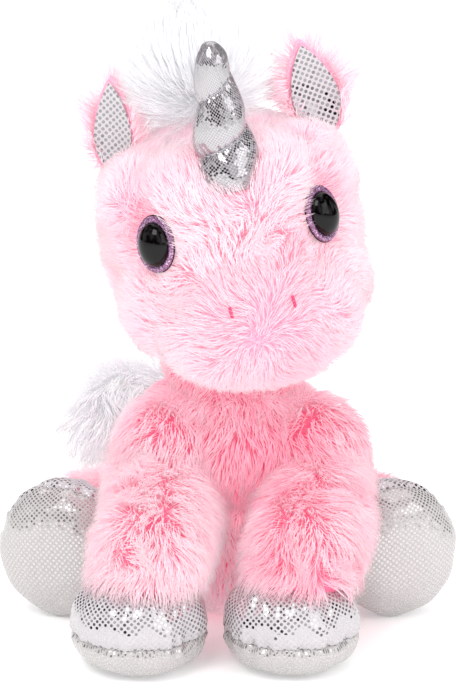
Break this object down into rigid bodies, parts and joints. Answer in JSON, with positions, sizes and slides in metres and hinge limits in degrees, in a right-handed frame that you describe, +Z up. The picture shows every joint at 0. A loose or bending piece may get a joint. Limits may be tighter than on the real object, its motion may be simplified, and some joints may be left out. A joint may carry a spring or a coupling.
{
  "type": "plush unicorn",
  "caption": "Seated soft toy unicorn in long curly pile fabric, with foil-dot hooves and ear linings, wound fabric horn, plastic safety eyes and long-pile mane and tail",
  "frame": {"origin": "on the flat seat that the toy rests on, straight below the neck's middle", "axes": "+Z is up, -Y is the way the toy faces and +X is the right as seen from the front"},
  "size_m": [0.2038, 0.2142, 0.2782],
  "materials": {
    "blush_pile": "long curly pile, matt",
    "rose_pile": "long curly pile, matt",
    "white_pile": "straight long pile, matt",
    "foil_dot_fabric": "white knit with mirror foil dots",
    "sole_fabric": "white knit with faint dots",
    "polyester_fill": "loose fibre fill",
    "pellet_bag_cotton": "plain cotton bag of plastic pellets",
    "eye_plastic": "polished black",
    "iris_glitter": "glitter under clear lacquer",
    "washer_plastic": "moulded",
    "nostril_thread": "embroidery thread",
    "silver_thread": "metallic thread"
  },
  "bodies": {
    "torso": {"torso_back_panel": "rose_pile", "torso_belly_panel": "rose_pile", "torso_stuffing": "polyester_fill", "pellet_bag": "pellet_bag_cotton"},
    "neck": {"neck_sleeve": "rose_pile", "neck_stuffing": "polyester_fill"},
    "head": {"head_left_panel": "blush_pile", "head_right_panel": "blush_pile", "head_stuffing": "polyester_fill", "mane_tuft": "white_pile", "horn_cover": "foil_dot_fabric", "horn_stuffing": "polyester_fill", "horn_thread": "silver_thread", "eye_left": "eye_plastic", "iris_ring_left": "iris_glitter", "eye_washer_left": "washer_plastic", "nostril_stitch_left": "nostril_thread", "eye_right": "eye_plastic", "iris_ring_right": "iris_glitter", "eye_washer_right": "washer_plastic", "nostril_stitch_right": "nostril_thread"},
    "ear_left": {"ear_left_back": "blush_pile", "ear_left_lining": "foil_dot_fabric"},
    "ear_right": {"ear_right_back": "blush_pile", "ear_right_lining": "foil_dot_fabric"},
    "tail": {"tail_plume": "white_pile"},
    "front_leg_left": {"front_leg_left_cover": "rose_pile", "front_leg_left_stuffing": "polyester_fill", "front_leg_left_hoof_upper": "foil_dot_fabric", "front_leg_left_hoof_sole": "sole_fabric"},
    "front_leg_right": {"front_leg_right_cover": "rose_pile", "front_leg_right_stuffing": "polyester_fill", "front_leg_right_hoof_upper": "foil_dot_fabric", "front_leg_right_hoof_sole": "sole_fabric"},
    "hind_leg_left": {"hind_leg_left_cover": "rose_pile", "hind_leg_left_stuffing": "polyester_fill", "hind_leg_left_hoof_upper": "foil_dot_fabric", "hind_leg_left_hoof_sole": "sole_fabric"},
    "hind_leg_right": {"hind_leg_right_cover": "rose_pile", "hind_leg_right_stuffing": "polyester_fill", "hind_leg_right_hoof_upper": "foil_dot_fabric", "hind_leg_right_hoof_sole": "sole_fabric"}
  },
  "joints": [
    {"name": "neck_nod", "type": "hinge", "parent": "torso", "child": "neck", "pos_m": [0, -0.008, 0.088], "axis": [1, 0, 0], "range_deg": [-8, 8], "stiffness_Nm_per_rad": 0.9},
    {"name": "head_turn", "type": "hinge", "parent": "neck", "child": "head", "pos_m": [0, -0.008, 0.1198], "axis": [0, 0, 1], "range_deg": [-25, 25], "stiffness_Nm_per_rad": 0.3},
    {"name": "ear_left_fold", "type": "hinge", "parent": "head", "child": "ear_left", "pos_m": [-0.04504, -0.02567, 0.2117], "axis": [0.9814, 0.098, 0.165], "range_deg": [-20, 20], "stiffness_Nm_per_rad": 0.05},
    {"name": "ear_right_fold", "type": "hinge", "parent": "head", "child": "ear_right", "pos_m": [0.03544, -0.01764, 0.22523], "axis": [0.9814, 0.098, 0.165], "range_deg": [-20, 20], "stiffness_Nm_per_rad": 0.05},
    {"name": "tail_swing", "type": "hinge", "parent": "torso", "child": "tail", "pos_m": [-0.009, 0.07, 0.036], "axis": [0, 0, 1], "range_deg": [-12, 12], "stiffness_Nm_per_rad": 0.1},
    {"name": "front_leg_left_lift", "type": "hinge", "parent": "torso", "child": "front_leg_left", "pos_m": [-0.029, -0.024, 0.067], "axis": [-1, 0, 0], "range_deg": [0, 25], "stiffness_Nm_per_rad": 0.4},
    {"name": "front_leg_right_lift", "type": "hinge", "parent": "torso", "child": "front_leg_right", "pos_m": [0.038, -0.024, 0.067], "axis": [-1, 0, 0], "range_deg": [0, 25], "stiffness_Nm_per_rad": 0.4},
    {"name": "hind_leg_left_spread", "type": "hinge", "parent": "torso", "child": "hind_leg_left", "pos_m": [-0.034, 0.028, 0.036], "axis": [0, 0, -1], "range_deg": [0, 15], "stiffness_Nm_per_rad": 0.3},
    {"name": "hind_leg_right_spread", "type": "hinge", "parent": "torso", "child": "hind_leg_right", "pos_m": [0.034, 0.028, 0.036], "axis": [0, 0, 1], "range_deg": [0, 15], "stiffness_Nm_per_rad": 0.3}
  ]
}
